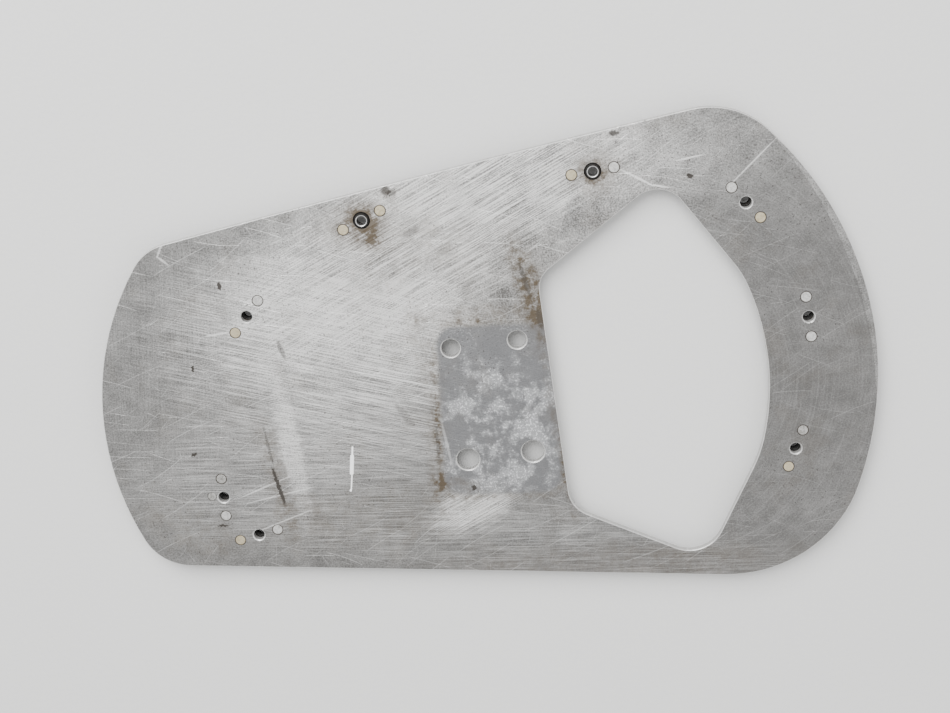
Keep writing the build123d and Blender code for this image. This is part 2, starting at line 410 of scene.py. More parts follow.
# Long light scratches: start, end, width
LIGHT_SCRATCHES = (
    ((-125.4, 88.2), (-129.4, 81.4), 0.9),
    ((-129.4, 81.4), (-125.6, 77.4), 0.9),
    ((-22.9, -7.3), (-21.4, -26.5), 1.1),
    ((-115.0, -30.0), (-92.0, -23.0), 0.7),
    ((-112.0, -33.0), (-84.0, -29.5), 0.6),
    ((-111.0, -47.0), (-86.0, -40.0), 0.6),
    ((66.0, 91.2), (77.5, 83.4), 0.9),
    ((76.5, 83.8), (84.0, 81.5), 0.8),
    ((88.0, 92.0), (99.0, 93.0), 0.7),
    ((108.0, 78.5), (128.0, 95.0), 0.6),
    ((-60.0, 22.0), (-22.0, 9.0), 0.8),
    ((-106.5, 45.0), (-116.0, 44.5), 0.8),
)
# White paint stroke, in sharp bars: centre, half lengths, direction
PAINT_DABS = (
    ((-63.2, -15.4), (2.6, 0.4), 79),
    ((-64.4, -21.2), (4.8, 0.85), 79),
    ((-65.9, -29.4), (3.6, 0.3), 78),
    ((-66.9, -33.0), (0.6, 0.5), 90),
)
# Footprint of the axle flange: centre, half sizes less the corner, corner radius, direction
FLANGE_CENTRE = (2.5, -5.0)
FLANGE_HALF = (17.5, 30.5)
FLANGE_CORNER = 8.0
FLANGE_ANGLE = -5.5
# How far the back's pattern is shifted, so that it doesn't repeat the front's
BACK_SHIFT = 400.0


def length_property(name, description, millimetres):
    """A length, kept in metres."""
    return FloatProperty(
        name=name, description=description, default=millimetres * MM, min=0.0, precision=5,
        subtype="DISTANCE", unit="LENGTH",
    )


def color_property(name, description, color):
    """A colour without opacity."""
    return FloatVectorProperty(
        name=name, description=description, default=color, size=3, min=0.0, max=1.0, subtype="COLOR",
    )


class PlateFinish(bpy.types.PropertyGroup):
    """Colours and wear of the plate."""

    metal: color_property("Metal", "Colour of the sanded aluminium", (1.0, 0.99, 0.97))
    metal_dark: color_property("Dull metal", "Colour of the duller places", (0.16, 0.157, 0.152))
    metal_bright: color_property("Bright metal", "Colour of scratches and broken edges", (1.0, 0.995, 0.98))
    metal_clamped: color_property("Clamped metal", "Tint of the flange's footprint", (0.3, 0.31, 0.335))
    corrosion: color_property("Corrosion", "Colour of the white corrosion", (0.74, 0.75, 0.76))
    grime: color_property("Grime", "Colour of the brown stains", (0.075, 0.053, 0.028))
    # This colour also paints the shade in the countersinks, round the rivets' heads
    dirt: color_property("Dirt", "Colour of the small dark marks", (0.03, 0.025, 0.02))
    wall: color_property("Wall", "Colour of the plate's narrow sides", (0.6, 0.595, 0.58))
    paint: color_property("Paint", "Colour of the paint stroke", (1.0, 1.0, 0.99))
    scratch_depth: length_property("Scratch depth", "Depth of the sanding marks", 0.06)


class StageSettings(bpy.types.PropertyGroup):
    """Floor, lights and camera."""

    floor: color_property("Floor", "Colour of the floor", (0.72, 0.72, 0.71))
    key_power: FloatProperty(
        name="Key light", description="Power of the large soft light", unit="POWER", default=49.0, min=0.0,
    )
    fill_power: FloatProperty(
        name="Fill light", description="Power of the light opposite", unit="POWER", default=5.0, min=0.0,
    )
    sky: FloatProperty(
        name="Sky", description="Strength of the even light from all round", default=1.0, min=0.0,
    )
    lens: FloatProperty(
        name="Lens", description="Focal length on a 36 mm frame", unit="CAMERA", default=61.12, min=10.0,
    )


def marked(place, marks, draw):
    """The sum of a list of marks, each drawn by the same function."""
    total = 0.0
    for mark in marks:
        total = draw(place, *mark) + total
    return total


def sanding_marks(s, place, flat, ragged, front, back):
    """The sanding's lines in each direction, and the sanding itself: patches, and arcs along the rim."""
    sanding = 0.0
    lines = []
    for angle, patches in SANDED_PATCHES:
        lines.append(s.ramp(s.brushed(flat, angle, SANDING_WIDTH, SANDING_LENGTH, angle), 0.4, 0.7))
        sanding = lines[-1] * marked(ragged, patches, s.oval) + sanding
    round_x, round_y = s.turned(place, RIM_CENTRE, 0)
    radius = s.math("MULTIPLY_ADD", round_x, round_x, round_y * round_y) ** 0.5
    swing = s.math("ARCTAN2", round_y, round_x)
    arcs = s.ramp(s.noise(s.join(radius / 0.8, swing * 1.6, 0.0), 1.0, 3.0, 0.65), 0.45, 0.8)
    rim = s.ramp(radius, *RIM_START) * s.ramp(s.parts(place)[0], 60.0, 90.0)
    return lines, (sanding + rim * arcs * 0.14) * front + lines[2] * back * 0.7 + lines[1] * back * 0.3


def flange_marks(s, place, uneven, front):
    """The footprint of the axle flange, its dirty border, and the white corrosion in it."""
    foot = s.bar_distance(uneven, FLANGE_CENTRE, FLANGE_HALF, FLANGE_ANGLE)
    footprint = s.ramp(foot, FLANGE_CORNER - 1.6, FLANGE_CORNER + 1.0, 1.0, 0.0) * front
    border = s.ramp(abs(foot - (FLANGE_CORNER + 1.2)), 0.3, 3.2, 1.0, 0.0)
    bloom = s.ramp(s.noise(s.vector("ADD", place, (37.0, 91.0, 0.0)), 12.0, 5.0, 0.68), 0.44, 0.62)
    flecks = s.ramp(s.noise(place, 0.9, 3.0, 0.6), 0.52, 0.66)
    middle = s.oval(place, (2, -14), (23, 27))
    corrosion = bloom * (flecks * (middle * 0.5 + 0.3) + middle * 0.4) * footprint
    return footprint, border, corrosion


def plate_material(settings):
    """Sanded aluminium with a flange's footprint, brown stains, pits, scratches and a paint dab."""
    s = Shading("sanded_aluminium")
    x, y, _ = s.parts(s.scaled(s.node("ShaderNodeTexCoord", output="Object"), 1.0 / MM))
    up = s.parts(s.node("ShaderNodeNewGeometry", output="Normal"))[2]
    front = s.ramp(up, 0.9, 0.95)
    back = s.ramp(up, -0.95, -0.9, 1.0, 0.0)
    place = s.join(x, y, 0.0)
    flat = s.join(x + back * BACK_SHIFT, y, 0.0)
    ragged = s.pushed(place, 4.0, 3.0, 2.6)
    uneven = s.pushed(place, 1.1, 1.0, 0.7)

    # Tone: broad cloudy changes, the brighter sanded middle with a painted highlight over it, a painted
    # highlight along a crease, and the duller rim and bottom, which are painted shade
    cloud = s.noise(flat, 55.0, 4.0, 0.55)
    mottle = s.noise(flat, 7.0, 3.0, 0.6)
    grain = s.noise(flat, 0.7, 2.0, 0.7)
    variation = (cloud - 0.5) * 0.5 + (mottle - 0.5) * 0.5 + (grain - 0.5) * 0.9
    light = marked(place, SANDED_AND_HIGHLIGHT_AREAS, s.oval) + marked(ragged, RUB_AND_CREASE_HIGHLIGHT, s.oval)
    light = light + s.ramp(up, 0.985, 0.997, 0.3, 0.0)
    # The base tone carries the painted highlight and the painted shade of the areas above, on the front
    # face only
    base = (light - marked(place, PAINTED_SHADE_AREAS, s.oval)) * front + 0.2

    lines, sanding = sanding_marks(s, place, flat, ragged, front, back)

    # Single scratches, long and short, in all directions, fewer towards the right rim
    fine, short, long, steep = [s.scratches(flat, *kind) for kind in SCRATCH_KINDS]
    quiet = 1.0 - s.ramp(x, 70.0, 105.0) * 0.55
    scored = (fine * 0.7 + short * 0.5 + long * 0.8 + steep * 0.35) * quiet

    # The clamped footprint is greyer and smoother
    footprint, border, corrosion = flange_marks(s, place, uneven, front)
    clear = 1.0 - footprint * 0.85
    sanding = sanding * clear
    scored = scored * clear
    base = base + (0.07 - base) * footprint

    # Painted shade in the narrow gap between each rivet's head and its countersink: the countersink's cone
    # takes the dark marks' colour
    steepness = abs(up)
    countersink_shade = s.ramp(steepness, 0.73, 0.75) * s.ramp(steepness, 0.78, 0.8, 1.0, 0.0)

    # Stains, dark marks, speckle, the countersinks' painted shade, and paint
    patchy = s.ramp(s.noise(place, 3.7, 4.0, 0.7), 0.3, 0.7)
    film = s.ramp(s.noise(flat, 23.0, 5.0, 0.65), 0.5, 0.72) * (0.5 + lines[0] * 0.5)
    stain = (marked(ragged, BROWN_STAINS, s.oval) + border * 0.45) * (patchy * 0.9 + 0.1)
    halo = marked(uneven, SOFT_STAINS, s.oval) * (patchy * 0.2 + mottle * 0.8 + 0.35)
    stain = (stain * (1.0 - footprint * 0.5) * (mottle * 0.7 + 0.6) + halo) * front
    stain = (stain + film * 0.3).below(1.0)
    specks = s.ramp(s.noise(flat, 1.15, 1.0, 0.5), 0.7, 0.76) * s.ramp(cloud, 0.45, 0.6)
    marks = (marked(uneven, DARK_MARKS, s.spot) * front * 1.1 + specks * 0.7 + countersink_shade).below(0.96)
    paint = (marked(place, PAINT_DABS, s.bar) * front).below(1.0)
    scored = scored + marked(place, LIGHT_SCRATCHES, s.stroke) * front * 1.4

    # Bright broken edges and the duller wall of the plate
    edge = s.ramp(steepness, 0.2, 0.4) * s.ramp(steepness, 0.9, 0.97, 1.0, 0.0) * (1.0 - countersink_shade)
    wall = s.ramp(steepness, 0.15, 0.3, 1.0, 0.0)

    shine = sanding * 0.35 + scored * (base * 1.1 + 0.35) + edge * 0.7
    tone = (variation + (sanding - 0.25) * 0.7) * (base * 2.2 + 0.05) + base
    color = s.mix(tone.below(1.0).above(0.0), rgb(settings.metal_dark), rgb(settings.metal))
    color = s.mix((shine * 0.7).below(1.0).above(0.0), color, rgb(settings.metal_bright))
    color = s.mix(footprint * 0.35, color, rgb(settings.metal_clamped))
    color = s.mix((corrosion * 0.7).below(0.9), color, rgb(settings.corrosion))
    color = s.mix((stain * 0.95).below(0.93), color, rgb(settings.grime))
    color = s.mix(marks, color, rgb(settings.dirt))
    color = s.mix(wall * 0.5, color, rgb(settings.wall))
    color = s.mix(paint, color, rgb(settings.paint))

    roughness = 0.5 - base * 0.15 + stain * 0.2 + corrosion * 0.25 + marks * 0.2
    roughness = (roughness - edge * 0.12 + (grain - 0.5) * 0.12).above(0.25).below(0.9)
    metallic = 1.0 - stain * 0.45 - corrosion * 0.5 - marks * 0.6 - paint - edge * 0.5 - wall * 0.5
    metallic = metallic.above(0.0)
    height = grain * 0.25 - fine * 0.5 - short * 0.5 - lines[0] * 0.25 - lines[1] * 0.25
    return s.finish(color, roughness, metallic, height, settings.scratch_depth)


def dark_film_material(settings):
    """Dark dry film on steel, worn to bare metal round the barrel's tip and on high edges."""
    s = Shading("dark_film_steel")
    place = s.scaled(s.node("ShaderNodeTexCoord", output="Object"), 1.0 / MM)
    radius = s.node("ShaderNodeAttribute", {"attribute_name": "radius"}, output="Fac")
    reach = s.node("ShaderNodeAttribute", {"attribute_name": "reach"}, output="Fac")
    grain = s.noise(place, 0.35, 3.0, 0.6, "3D")
    blotch = s.noise(place, 1.7, 4.0, 0.6, "3D")
    outside = s.ramp(radius, 2.25, 2.35)
    ring = s.ramp(radius, 2.02, 2.08) * s.ramp(radius, 2.3, 2.45, 1.0, 0.0)
    tip = s.ramp(reach, 5.0, 5.1) * ring * s.ramp(blotch + grain, 0.6, 0.85)
    thread = s.ramp(reach, 0.4, 0.6) * s.ramp(reach, 4.9, 5.1, 1.0, 0.0) * (1.0 - outside)
    crest = thread * s.ramp(radius, 2.06, 2.2, 1.0, 0.0)
    lug_edge = s.ramp(radius, 4.4, 11.9) * s.ramp(blotch, 0.5, 0.65)
    worn = (tip + crest * 0.12 + lug_edge * 0.4).below(1.0)
    color = s.mix(blotch, rgb(settings.film), rgb(settings.film_pale))
    color = s.mix(worn, color, rgb(settings.bare_steel))
    color = s.mix(s.ramp(blotch, 0.58, 0.7) * 0.5 * (1.0 - worn), color, rgb(settings.film_brown))
    roughness = (0.55 + (grain - 0.5) * 0.3 - worn * 0.22).below(0.9).above(0.2)
    constants = {"Specular IOR Level": 0.2}
    return s.finish(color, roughness, worn * 0.85 + 0.1, grain + blotch * 0.5, 0.00003, **constants)


def rivet_material(settings):
    """Soft aluminium of the rivets: a thin dark line round each head and darker sides, both painted shade
    of the gap in the countersink, and dirt in the hollows.
    """
    s = Shading("rivet_aluminium")
    place = s.scaled(s.node("ShaderNodeTexCoord", output="Object"), 1.0 / MM)
    up = s.parts(s.node("ShaderNodeNewGeometry", output="Normal"))[2]
    radius = s.node("ShaderNodeAttribute", {"attribute_name": "radius"}, output="Fac")
    warm = s.node("ShaderNodeAttribute", {"attribute_name": "warm"}, output="Fac")
    pale = s.node("ShaderNodeAttribute", {"attribute_name": "pale"}, output="Fac")
    mottle = s.noise(place, 1.3, 4.0, 0.65, "3D")
    grain = s.noise(place, 0.3, 3.0, 0.65, "3D")
    across = s.ramp(s.brushed(place, 35.0, 0.25, 9.0, 3.0), 0.45, 0.75)
    # Painted shade: the sides, the head's cone in the countersink, the shank and the tail, are darkened
    side = s.ramp(abs(up), 0.5, 0.9, 1.0, 0.0)
    # Painted shade of the gap: a thin dark ring round the top of each head
    rim = s.ramp(radius + (mottle - 0.5) * 0.4, 1.95, 2.15) * s.ramp(up, -0.2, 0.2)
    tone = 0.25 + pale * 0.4 + (mottle - 0.5) * 1.9 + (grain - 0.5) * 0.5 + across * 0.15
    color = s.mix(tone.below(1.0).above(0.0), rgb(settings.grey), rgb(settings.pale))
    color = s.mix(warm * 0.5, color, rgb(settings.yellow))
    color = s.mix(s.ramp(mottle, 0.55, 0.75) * 0.35, color, rgb(settings.hollow))
    # The painted shade of the ring and of the sides goes on here
    color = s.mix((rim * 0.9 + side * 0.6).below(0.93), color, rgb(settings.gap_shade))
    roughness = (0.5 + (mottle - 0.5) * 0.3 + rim * 0.2).below(0.9)
    return s.finish(color, roughness, 1.0 - side * 0.4 - rim * 0.4, mottle + grain * 0.4 - rim, 0.00004)


def floor_material(color):
    """Pale matt floor with a faint speckle."""
    s = Shading("pale_floor")
    place = s.node("ShaderNodeTexCoord", output="Object")
    speckle = s.noise(place, 0.002, 3.0, 0.5, "3D")
    tint = s.mix((speckle - 0.5) * 0.1 + 0.05, rgb(color), (0.5, 0.5, 0.5, 1.0))
    return s.finish(tint, 0.8 + (speckle - 0.5) * 0.1, 0.0, speckle, 0.0001)


class PLATE_OT_dress_plate(bpy.types.Operator):
    """Give the plate its sanded, stained and scratched finish"""

    bl_idname = "mounting_plate.dress_plate"
    bl_label = "Finish the plate"

    def execute(self, context):
        dress(PLATE_NODE, plate_material(context.scene.plate_finish))
        return {"FINISHED"}


class NutShape(bpy.types.PropertyGroup):
    """Sizes of an anchor nut and its thread."""

    rivet_pitch: length_property("Rivet pitch", "Between the lugs' rivets", 17.46)
    waist_radius: length_property("Waist radius", "Flange round the barrel", 4.9)
    lug_radius: length_property("Lug radius", "Round end of a lug", 3.3)
    lug_thickness: length_property("Lug thickness", "Height of the flange", 1.0)
    lug_edge: length_property("Lug edge", "Rounding of the flange's edges", 0.12)
    rivet_hole: length_property("Rivet hole", "Radius of a rivet hole", 1.21)
    barrel: length_property("Barrel", "Radius of the barrel above its root", 3.4)
    tip: length_property("Tip", "Radius of the barrel at its tip", 3.0)
    height: length_property("Height", "From the seat to the barrel's tip", 5.2)
    bore: length_property("Bore", "Minor radius of the thread", 2.05)
    pitch: length_property("Thread pitch", "Between neighbouring threads", 0.794)
    depth: length_property("Thread depth", "From the minor to the major radius", 0.34)
    segments: IntProperty(name="Segments", description="Points round the barrel", default=72, min=12)
    film: color_property("Film", "Darkest colour of the dry film", (0.006, 0.006, 0.006))
    film_pale: color_property("Pale film", "Palest colour of the dry film", (0.022, 0.02, 0.018))
    film_brown: color_property("Brown film", "Colour of the film's brown blotches", (0.09, 0.055, 0.03))
    bare_steel: color_property("Bare steel", "Colour where the film is worn off", (0.66, 0.66, 0.65))


# The barrel's profile as steps in millimetres: out from the barrel's radius and up from the flange
ROOT_FILLET = ((0.5, 0.0), (0.32, 0.14), (0.15, 0.3), (0.04, 0.5), (0.0, 0.75))
# In from the barrel's radius, then from the tip's, and down from the tip
BARREL_SIDE = ((0.0, 2.8), (0.01, 2.2), (0.03, 1.6), (0.1, 1.2), (0.23, 0.8), (0.35, 0.4))
TIP_ROUNDING = ((0.0, 0.2), (0.05, 0.1), (0.14, 0.03), (0.25, 0.0))
# Out from the bore's radius and down from the tip, then out from it and up from the seat
BORE_MOUTH = ((0.45, 0.0), (0.25, 0.01), (0.15, 0.03), (0.05, 0.1), (0.0, 0.15))
BORE_ENTRY = ((0.0, 0.35), (0.17, 0.18), (0.35, 0.0))
BORE_ROWS = 60
HOLE_SEGMENTS = 32
THREAD_FADE = 0.4
# Edges that bend by more degrees than this stay sharp
SHARP_ANGLE = 32.0


def in_millimetres(group):
    """A property group's lengths in millimetres, and its counts and colours as they are, by name."""
    values = {key: getattr(group, key) for key in group.__annotations__}
    return SimpleNamespace(
        **{key: value / MM if isinstance(value, float) else value for key, value in values.items()}
    )


def barrel_profile(shape):
    """Radius and height up the barrel's outside, over its tip and into the bore, step by step."""
    steps = [(shape.barrel + out, shape.lug_thickness + up) for out, up in ROOT_FILLET]
    steps += [(shape.barrel - inward, shape.height - down) for inward, down in BARREL_SIDE]
    steps += [(shape.tip - inward, shape.height - down) for inward, down in TIP_ROUNDING]
    return steps + [(shape.bore + out, shape.height - down) for out, down in BORE_MOUTH]


def bore_entry(shape):
    """Radius and height down the cone at the seat's end of the bore."""
    return [(shape.bore + out, up) for out, up in BORE_ENTRY]


def circle(radius, segments, centre=0.0):
    """Points round a circle whose centre lies on the first axis."""
    angle = np.arange(segments) * 2 * np.pi / segments
    return np.stack([centre + radius * np.cos(angle), radius * np.sin(angle)], axis=1)


def flange_outline(shape, inset, segments=HOLE_SEGMENTS):
    """The hull of the waist's circle and the two lugs' circles, all drawn in by the inset.

    Two circles a distance d apart, of radii R and r, share a tangent whose normal leans
    acos((R - r) / d) from the line between their centres.
    """
    distance = shape.rivet_pitch / 2
    waist, lug = shape.waist_radius - inset, shape.lug_radius - inset
    lean = math.acos((waist - lug) / distance)
    arcs = []
    for centre, radius, start, end in (
        (distance, lug, -lean, lean),
        (0.0, waist, lean, np.pi - lean),
        (-distance, lug, np.pi - lean, np.pi + lean),
        (0.0, waist, np.pi + lean, 2 * np.pi - lean),
    ):
        angle = np.linspace(start, end, segments)
        arcs.append(np.stack([centre + radius * np.cos(angle), radius * np.sin(angle)], axis=1))
    return np.concatenate(arcs)


def thread_rows(shape, rows, low, high):
    """Rings down a threaded bore, between two heights.

    The radius at height h and angle a is bore + depth * ridge, where ridge is the flattened triangle
    wave of h / pitch - a / 2 pi, and fades out at both ends.
    """
    height = np.linspace(high, low, rows + 2)[1:-1]
    angle = np.arange(shape.segments) * 2 * np.pi / shape.segments
    turn = height[:, None] / shape.pitch - angle[None, :] / (2 * np.pi)
    wave = 1.0 - np.abs(2.0 * (turn % 1.0) - 1.0)
    ridge = np.clip(wave * 1.3 - 0.15, 0.0, 1.0)
    fade = np.clip(np.minimum(high - height, height - low) / THREAD_FADE, 0.0, 1.0)[:, None]
    radius = shape.bore + shape.depth * ridge * fade
    points = np.stack(
        [radius * np.cos(angle), radius * np.sin(angle), np.broadcast_to(height[:, None], radius.shape)],
        axis=2,
    )
    return points.reshape(-1, 3)


def joined_rings(first, second, count):
    """Quads between two rings of points, given by the index of each ring's first point."""
    step = np.arange(count)
    after = (step + 1) % count
    return np.stack([first + step, first + after, second + after, second + step], axis=1)


def filled(loops, starts):
    """Triangles that fill the first loop but for the circles after it, on the loops' own points.

    A triangle whose middle is nearer a circle's centre than radius * cos(pi / n) ** 2 lies inside it.
    """
    points = np.concatenate(loops)
    index = np.concatenate([start + np.arange(len(loop)) for loop, start in zip(loops, starts)])
    first = np.cumsum([0] + [len(loop) for loop in loops])
    edges = []
    for begin, end in zip(first[:-1], first[1:]):
        step = np.arange(begin, end)
        edges += np.stack([step, np.roll(step, -1)], axis=1).tolist()
    result = delaunay_2d_cdt([Vector(point) for point in points.tolist()], edges, [], 1, 1e-5)
    source = np.array([found[0] for found in result[3]])
    triangles = source[np.array(result[2])]
    middles = points[triangles].mean(axis=1)
    for hole in loops[1:]:
        centre = hole.mean(axis=0)
        limit = math.dist(hole[0], centre) * math.cos(math.pi / len(hole)) ** 2
        outside = np.hypot(*(middles - centre).T) > limit
        triangles, middles = triangles[outside], middles[outside]
    return index[triangles]


def anchor_nut_mesh(shape):
    """The nut's points and faces in its own frame: seat at height 0, lugs along the first axis.

    The barrel is its profile turned about the upright axis: radius r and height h go to
    (r cos a, r sin a, h). The flange's wall is its outline, drawn in a little at both faces.
    """
    count = shape.segments
    profile, entry_cone = barrel_profile(shape), bore_entry(shape)
    points, start = [], 0

    def add(ring, height=None):
        nonlocal start
        block = ring if height is None else np.column_stack([ring, np.full(len(ring), height)])
        points.append(block)
        start += len(block)
        return start - len(block)

    faces = []
    # Barrel and bore
    barrel = [add(circle(radius, count), height) for radius, height in profile]
    bore = add(thread_rows(shape, BORE_ROWS, entry_cone[0][1], profile[-1][1]))
    barrel += [bore + row * count for row in range(BORE_ROWS)]
    barrel += [add(circle(radius, count), height) for radius, height in entry_cone]
    faces += [joined_rings(a, b, count) for a, b in zip(barrel[:-1], barrel[1:])]

    # Edge of the flange, rounded over at both faces
    top, edge = shape.lug_thickness, shape.lug_edge
    rounding = ((edge, 0.0), (edge * 0.3, edge * 0.3), (0.0, edge))
    wall = [add(flange_outline(shape, inset), height) for inset, height in rounding]
    wall += [add(flange_outline(shape, inset), top - height) for inset, height in reversed(rounding)]
    outline = flange_outline(shape, edge)
    faces += [joined_rings(a, b, len(outline)) for a, b in zip(wall[:-1], wall[1:])]

    # Rivet holes
    holes = [circle(shape.rivet_hole, HOLE_SEGMENTS, side * shape.rivet_pitch / 2) for side in (1, -1)]
    seat_holes = [add(hole, 0.0) for hole in holes]
    top_holes = [add(hole, top) for hole in holes]
    faces += [joined_rings(a, b, HOLE_SEGMENTS) for a, b in zip(seat_holes, top_holes)]

    # The flange's two faces
    root = circle(profile[0][0], count)
    entry = circle(entry_cone[-1][0], count)
    triangles = [
        filled([outline, root, *holes], [wall[-1], barrel[0], *top_holes]),
        filled([outline, entry, *holes], [wall[0], barrel[-1], *seat_holes]),
    ]
    return np.concatenate(points), np.concatenate(faces).tolist() + np.concatenate(triangles).tolist()


def node_middle(name):
    """The middle of a node's box."""
    low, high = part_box(name)
    return (low + high) / 2


def place_nut(points, node):
    """The nut's points set between its two rivets, its seat against the plate's back face."""
    place = node.removeprefix("anchor_nut_")
    first, second = node_middle(f"rivet_{place}_a"), node_middle(f"rivet_{place}_b")
    centre = (first + second) / 2
    along = (second - first).xy.normalized()
    low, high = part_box(node)
    reach = points[:, 2] * MM
    if high.z > 0:
        height, side = low.z + reach, 1.0
    else:
        height, side = high.z - reach, -1.0
    u, v = points[:, 0] * MM, points[:, 1] * MM * side
    return np.stack(
        [centre.x + u * along.x - v * along.y, centre.y + u * along.y + v * along.x, height], axis=1
    )


def finished_piece(name, node, points, faces, marks, material):
    """A new piece that stands for a node: smooth but for its sharp edges, faces outward."""
    piece = mesh_piece(name, points, faces)
    mesh = piece.data
    for key, values in marks.items():
        layer = mesh.attributes.new(key, "FLOAT", "POINT")
        layer.data.foreach_set("value", np.asarray(values, dtype=np.float32))
    shell = bmesh.new()
    shell.from_mesh(mesh)
    bmesh.ops.recalc_face_normals(shell, faces=shell.faces)
    open_edges = [edge for edge in shell.edges if not edge.is_manifold]
    shell.to_mesh(mesh)
    shell.free()
    if open_edges:
        raise RuntimeError(f"{name} isn't closed: {len(open_edges)} open edges")
    mesh.shade_smooth()
    mesh.set_sharp_from_angle(angle=math.radians(SHARP_ANGLE))
    mesh.materials.append(material)
    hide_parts(node)
    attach(piece, "root")


class PLATE_OT_build_nuts(bpy.types.Operator):
    """Build the eight anchor nuts with their threads, and give them their dark film"""

    bl_idname = "mounting_plate.build_nuts"
    bl_label = "Build the anchor nuts"

    def execute(self, context):
        shape = in_millimetres(context.scene.anchor_nut)
        material = dark_film_material(shape)
        points, faces = anchor_nut_mesh(shape)
        marks = {"radius": np.hypot(points[:, 0], points[:, 1]), "reach": points[:, 2]}
        for node in NUT_NODES:
            name = node.replace("anchor_nut", "threaded_nut")
            finished_piece(name, node, place_nut(points, node), faces, marks, material)
        return {"FINISHED"}


class RivetShape(bpy.types.PropertyGroup):
    """Sizes of the rivets' make."""

    shank_radius: length_property("Shank radius", "Of every rivet", 1.19)
    cone_depth: length_property("Head depth", "From a head's rim to its shank", 0.91)
    tail_height: length_property("Tail height", "Of the upset tail", 1.1)
    tail_radius: length_property("Tail radius", "Of the upset tail", 1.85)
    head_dish: length_property("Head dish", "Depth that shaving left in a head", 0.012)
    tail_wander: length_property("Tail wander", "Unevenness of an upset tail", 0.06)
    segments: IntProperty(name="Segments", description="Points round a rivet", default=64, min=12)
    grey: color_property("Grey", "Darkest colour of a head", (0.3, 0.29, 0.27))
    pale: color_property("Pale", "Palest colour of a head", (0.86, 0.86, 0.84))
    yellow: color_property("Yellow", "Tint of the yellowish heads", (0.8, 0.66, 0.36))
    hollow: color_property("Hollow", "Colour of dirt in a head's hollows", (0.2, 0.17, 0.13))
    # Painted shade of the gap round a head and of the rivet's sides
    gap_shade: color_property("Rim dirt", "Colour of the dark line round a head", (0.06, 0.045, 0.032))


# A head's dish: share of its radius, and share of the dish's depth that is left above the dish's floor
HEAD_DISH = ((0.25, 0.4), (0.5, 0.9), (0.7, 1.0), (0.86, 0.8), (0.94, 0.0))
# An upset tail: share of its radius, and millimetres below the lug
TAIL_SIDE = ((0.8, 0.0), (0.93, 0.1), (1.0, 0.4), (1.0, 0.65), (0.96, 0.85), (0.86, 1.0), (0.7, 1.07))
# A flush head's flat, as shares of its radius
FLAT_SHARES = (0.25, 0.5, 0.75, 0.9)
FLUSH_CONE_SLOPE = 0.84
# Only a tail lies this low and is this wide
TAIL_START = -3.9
TAIL_LEAST_RADIUS = 1.4


def rivet_profile(shape, radius, top, bottom):
    """Radius and height down a rivet, from its dished head over cone, shank and tail, as steps."""
    head = [(radius * part, top - shape.head_dish * (1.0 - rise)) for part, rise in HEAD_DISH]
    head += [(radius * 0.985, top - 0.02), (radius, top - 0.07)]
    head += [(radius * 0.8, top - 0.07 - shape.cone_depth * 0.42)]
    head += [(shape.shank_radius, top - 0.05 - shape.cone_depth)]
    lug = bottom + shape.tail_height
    tail = [(shape.shank_radius, lug + 0.02)]
    tail += [(shape.tail_radius * part, lug - down) for part, down in TAIL_SIDE]
    tail += [(shape.tail_radius * 0.4, bottom + 0.01), (shape.tail_radius * 0.2, bottom)]
    return np.array(head + tail), top - shape.head_dish * 0.6, bottom + 0.015


def plug_profile(shape, radius, top, bottom):
    """Radius and height down the plug, which has the same flush head at both ends, as steps."""
    head = [(radius * part, 0.0) for part in FLAT_SHARES]
    head += [(radius * 0.98, 0.02), (radius, 0.07)]
    head += [(shape.shank_radius, 0.1 + (radius - shape.shank_radius) * FLUSH_CONE_SLOPE)]
    upper = [(r, top - depth) for r, depth in head]
    lower = [(r, bottom + depth) for r, depth in reversed(head)]
    return np.array(upper + lower), top, bottom


def turned_mesh(profile, top, bottom, segments, rng, wander):
    """A profile turned about the upright axis and closed by a point at each end.

    Radius r and height h go to (r cos a, r sin a, h). On a tail the radius shrinks by
    wander * (1 + sin(2 a + p) + 0.5 sin(3 a + q)) / 2.5, never less than 0, with random p and q, so that
    no two driven tails are alike.
    """
    angle = np.arange(segments) * 2 * np.pi / segments
    radius, height = profile[:, 0, None], profile[:, 1, None]
    first, second = rng.uniform(0, 2 * np.pi, 2)
    wave = (1.0 + np.sin(2 * angle + first) + 0.5 * np.sin(3 * angle + second)) / 2.5
    tail = (height < TAIL_START) & (radius > TAIL_LEAST_RADIUS)
    radius = radius - wander * np.clip(wave, 0.0, 1.0) * tail
    rings = np.stack(
        [radius * np.cos(angle), radius * np.sin(angle), np.broadcast_to(height, radius.shape)], axis=2
    ).reshape(-1, 3)
    rows = len(profile)
    starts = [row * segments for row in range(rows)]
    quads = np.concatenate([joined_rings(a, b, segments) for a, b in zip(starts[:-1], starts[1:])])
    step = np.arange(segments)
    after = (step + 1) % segments
    upper, lower = rows * segments, rows * segments + 1
    last = starts[-1]
    caps = [np.stack([np.full(segments, upper), after, step], axis=1)]
    caps += [np.stack([np.full(segments, lower), last + step, last + after], axis=1)]
    points = np.concatenate([rings, [[0.0, 0.0, top], [0.0, 0.0, bottom]]])
    return points, quads.tolist() + np.concatenate(caps).tolist()


FIRST_SEED = 7
# How each rivet's head differs: yellowish ones, and ones paler than the rest
WARM_RIVETS = (
    "rivet_top_left_a", "rivet_top_left_b", "rivet_left_upper_a", "rivet_right_upper_b",
    "rivet_bottom_left_a", "rivet_top_right_a", "rivet_right_lower_a",
)
PALE_RIVETS = (
    "rivet_left_upper_b", "rivet_right_upper_a", "rivet_right_middle_a", "rivet_right_middle_b",
    "rivet_left_lower_a", "rivet_bottom_left_b", "rivet_top_right_b",
)


